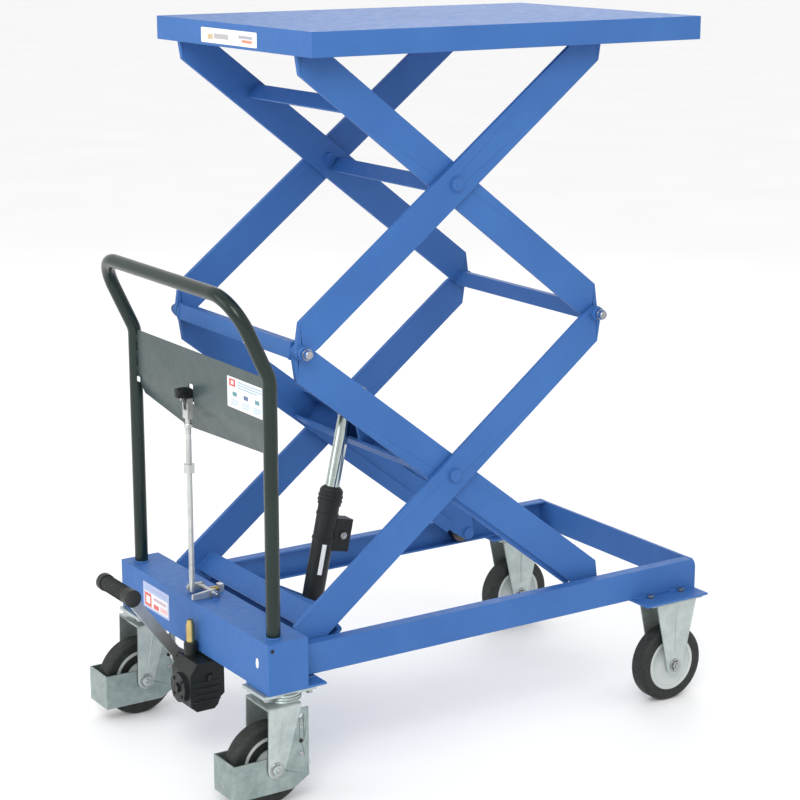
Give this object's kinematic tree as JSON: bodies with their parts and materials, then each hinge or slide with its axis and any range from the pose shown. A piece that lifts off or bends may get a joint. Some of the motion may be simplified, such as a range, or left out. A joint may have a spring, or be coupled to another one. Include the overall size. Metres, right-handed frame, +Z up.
{
  "type": "mobile scissor lift table",
  "caption": "Hand-pushed lift table with a two-stage scissor, hydraulic foot pump, tubular push handle, braked swivel casters with foot guards and fixed front casters.",
  "frame": {"origin": "on the floor below the middle of the outline, with the table raised", "axes": "+Z up, +X from the push handle towards the fixed front casters, +Y to the left of an operator who pushes the table"},
  "size_m": [1.106, 0.593, 1.32],
  "materials": {
    "blue_paint": "satin",
    "pin_steel": "satin",
    "zinc_plate": "satin",
    "wheel_grey": "satin",
    "tyre_rubber": "matte",
    "dark_paint": "gloss",
    "black_paint": "satin",
    "rod_chrome": "polished",
    "link_steel": "satin",
    "yellow_zinc": "satin",
    "grip_rubber": "matte"
  },
  "bodies": {
    "base": {"side_rail_near": "blue_paint", "side_rail_far": "blue_paint", "rear_box": "blue_paint", "front_plate": "blue_paint", "base_pivot_pins": "pin_steel", "swivel_top_plates": "zinc_plate", "fixed_forks": "zinc_plate", "fixed_axles": "pin_steel", "caster_bolts": "pin_steel", "handle_tube": "dark_paint", "handle_panel": "dark_paint", "pump_body": "black_paint"},
    "swivel_near": {"swivel_fork_near": "zinc_plate", "wheel_guard_near": "zinc_plate"},
    "swivel_far": {"swivel_fork_far": "zinc_plate", "wheel_guard_far": "zinc_plate"},
    "swivel_wheel_near": {"swivel_tyre_near": "tyre_rubber", "swivel_hub_near": "wheel_grey"},
    "swivel_wheel_far": {"swivel_tyre_far": "tyre_rubber", "swivel_hub_far": "wheel_grey"},
    "fixed_wheel_near": {"fixed_tyre_near": "tyre_rubber", "fixed_hub_near": "wheel_grey"},
    "fixed_wheel_far": {"fixed_tyre_far": "tyre_rubber", "fixed_hub_far": "wheel_grey"},
    "lower_outer": {"lower_outer_arm_near": "blue_paint", "lower_outer_arm_far": "blue_paint", "lower_outer_beam": "blue_paint", "cylinder_foot_pin": "pin_steel"},
    "lower_inner": {"lower_inner_arm_near": "blue_paint", "lower_inner_arm_far": "blue_paint", "lift_beam": "blue_paint", "lift_pin": "pin_steel", "lower_tie": "blue_paint", "lower_inner_pins": "blue_paint"},
    "base_roller_near": {"base_roller_near": "pin_steel"},
    "base_roller_far": {"base_roller_far": "pin_steel"},
    "upper_outer": {"upper_outer_arm_near": "blue_paint", "upper_outer_arm_far": "blue_paint", "deck_roller_pins": "pin_steel"},
    "deck_roller_near": {"deck_roller_near": "pin_steel"},
    "deck_roller_far": {"deck_roller_far": "pin_steel"},
    "upper_inner": {"upper_inner_arm_near": "blue_paint", "upper_inner_arm_far": "blue_paint", "top_bar": "blue_paint", "crossing_bar": "blue_paint", "upper_tie": "blue_paint", "upper_inner_pins": "blue_paint"},
    "deck": {"deck_tray": "blue_paint", "deck_guide_rails": "blue_paint", "deck_brackets": "blue_paint"},
    "cylinder": {"cylinder_barrel": "black_paint", "valve_block": "black_paint"},
    "rod": {"cylinder_rod": "rod_chrome"},
    "pedal": {"pedal_lever": "link_steel", "pedal_grip": "grip_rubber"},
    "plunger": {"pump_plunger": "yellow_zinc"},
    "lever": {"release_lever": "black_paint"},
    "pull_rod": {"release_rod": "link_steel"},
    "crank": {"release_crank": "link_steel"}
  },
  "joints": [
    {"name": "lower_outer_hinge", "type": "hinge", "parent": "base", "child": "lower_outer", "pos_m": [-0.33715, 0, 0.244], "axis": [0, 1, 0], "range_deg": [0, 32.9]},
    {"name": "lower_inner_hinge", "type": "hinge", "parent": "lower_outer", "child": "lower_inner", "pos_m": [-0.007, 0, 0.52], "axis": [0, -1, 0], "range_deg": [0, 65.8]},
    {"name": "upper_outer_hinge", "type": "hinge", "parent": "lower_inner", "child": "upper_outer", "pos_m": [-0.321, 0, 0.7825], "axis": [0, 1, 0], "range_deg": [0, 65.8]},
    {"name": "upper_inner_hinge", "type": "hinge", "parent": "upper_outer", "child": "upper_inner", "pos_m": [-0.007, 0, 1.045], "axis": [0, -1, 0], "range_deg": [0, 65.8]},
    {"name": "deck_hinge", "type": "hinge", "parent": "upper_inner", "child": "deck", "pos_m": [-0.30892, 0, 1.2974], "axis": [0, 1, 0], "range_deg": [0, 32.9]},
    {"name": "cylinder_hinge", "type": "hinge", "parent": "lower_outer", "child": "cylinder", "pos_m": [-0.17893, 0, 0.23498], "axis": [0, -1, 0], "range_deg": [0, 9.1]},
    {"name": "rod_slide", "type": "slide", "parent": "cylinder", "child": "rod", "axis": [0.2116, 0, 0.9774], "range_m": [-0.158, 0]},
    {"name": "base_roller_spin_near", "type": "hinge", "parent": "lower_inner", "child": "base_roller_near", "pos_m": [0.32315, -0.235, 0.244], "axis": [0, 1, 0], "continuous": true},
    {"name": "deck_roller_spin_near", "type": "hinge", "parent": "upper_outer", "child": "deck_roller_near", "pos_m": [0.29492, -0.237, 1.2974], "axis": [0, 1, 0], "continuous": true},
    {"name": "caster_swivel_near", "type": "hinge", "parent": "base", "child": "swivel_near", "pos_m": [-0.386, -0.25, 0.189], "axis": [0, 0, 1], "continuous": true},
    {"name": "swivel_wheel_spin_near", "type": "hinge", "parent": "swivel_near", "child": "swivel_wheel_near", "pos_m": [-0.42, -0.25, 0.075], "axis": [0, 1, 0], "continuous": true},
    {"name": "fixed_wheel_spin_near", "type": "hinge", "parent": "base", "child": "fixed_wheel_near", "pos_m": [0.478, -0.252, 0.075], "axis": [0, 1, 0], "continuous": true},
    {"name": "base_roller_spin_far", "type": "hinge", "parent": "lower_inner", "child": "base_roller_far", "pos_m": [0.32315, 0.235, 0.244], "axis": [0, 1, 0], "continuous": true},
    {"name": "deck_roller_spin_far", "type": "hinge", "parent": "upper_outer", "child": "deck_roller_far", "pos_m": [0.29492, 0.237, 1.2974], "axis": [0, 1, 0], "continuous": true},
    {"name": "caster_swivel_far", "type": "hinge", "parent": "base", "child": "swivel_far", "pos_m": [-0.386, 0.25, 0.189], "axis": [0, 0, 1], "continuous": true},
    {"name": "swivel_wheel_spin_far", "type": "hinge", "parent": "swivel_far", "child": "swivel_wheel_far", "pos_m": [-0.42, 0.25, 0.075], "axis": [0, 1, 0], "continuous": true},
    {"name": "fixed_wheel_spin_far", "type": "hinge", "parent": "base", "child": "fixed_wheel_far", "pos_m": [0.478, 0.252, 0.075], "axis": [0, 1, 0], "continuous": true},
    {"name": "pedal_hinge", "type": "hinge", "parent": "base", "child": "pedal", "pos_m": [-0.442, 0.03, 0.188], "axis": [0, -1, 0], "range_deg": [0, 28], "stiffness_Nm_per_rad": 8, "springref_deg": -22.92},
    {"name": "plunger_slide", "type": "slide", "parent": "base", "child": "plunger", "axis": [0, 0, -1], "range_m": [0, 0.0122]},
    {"name": "release_hinge", "type": "hinge", "parent": "base", "child": "lever", "pos_m": [-0.388, 0.03, 0.66], "axis": [0, 1, 0], "range_deg": [0, 15], "stiffness_Nm_per_rad": 2, "springref_deg": -17.19},
    {"name": "pull_rod_slide", "type": "slide", "parent": "base", "child": "pull_rod", "axis": [0, 0, 1], "range_m": [0, 0.006], "stiffness_N_per_m": 100, "springref_m": 0.0325},
    {"name": "crank_hinge", "type": "hinge", "parent": "base", "child": "crank", "pos_m": [-0.388, 0.03, 0.309], "axis": [0, 1, 0], "range_deg": [0, 15]}
  ],
  "couplings": [
    {"joint": "lower_inner_hinge", "follows": "lower_outer_hinge", "ratio": 2},
    {"joint": "upper_outer_hinge", "follows": "lower_outer_hinge", "ratio": 2},
    {"joint": "upper_inner_hinge", "follows": "lower_outer_hinge", "ratio": 2},
    {"joint": "deck_hinge", "follows": "lower_outer_hinge", "ratio": 1},
    {"joint": "cylinder_hinge", "follows": "lower_outer_hinge", "ratio": 0.275},
    {"joint": "rod_slide", "follows": "lower_outer_hinge", "m_per_rad": -0.2735},
    {"joint": "plunger_slide", "follows": "pedal_hinge", "m_per_rad": 0.0245},
    {"joint": "pull_rod_slide", "follows": "release_hinge", "m_per_rad": 0.022},
    {"joint": "crank_hinge", "follows": "release_hinge", "ratio": 1}
  ]
}
